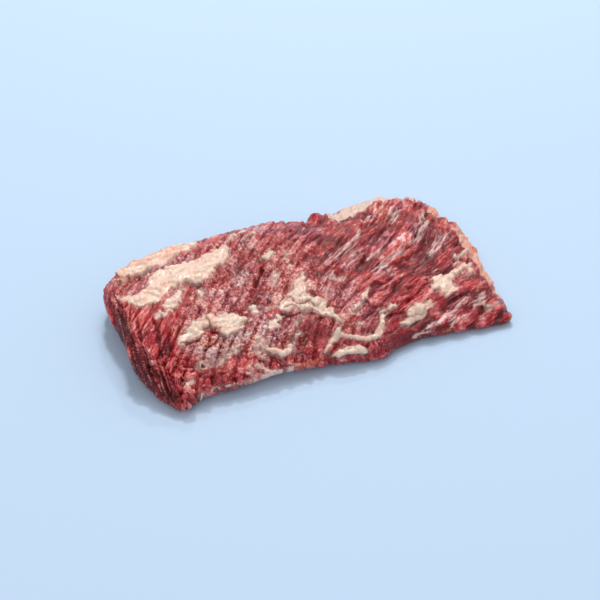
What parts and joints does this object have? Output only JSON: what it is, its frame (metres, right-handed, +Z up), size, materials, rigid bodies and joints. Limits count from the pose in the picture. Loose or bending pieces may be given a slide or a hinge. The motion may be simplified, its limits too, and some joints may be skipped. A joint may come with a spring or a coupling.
{
  "type": "raw beef steak",
  "caption": "Thick raw beef steak of long-grained flank muscle, tapering to a thin end, with torn edges and fat left on it in patches.",
  "frame": {"origin": "centre of the steak's box in plan, on the surface that it lies on", "axes": "+X along the slab from its thick end to its thin end, +Y across it to the edge away from the camera, +Z up through its thickness"},
  "size_m": [0.2234, 0.1308, 0.0322],
  "materials": {
    "raw_beef": "wet raw beef: mauve to deep red muscle, cream fat in patches, thin whitish membrane"
  },
  "bodies": {
    "root": {"steak": "raw_beef"}
  },
  "joints": []
}
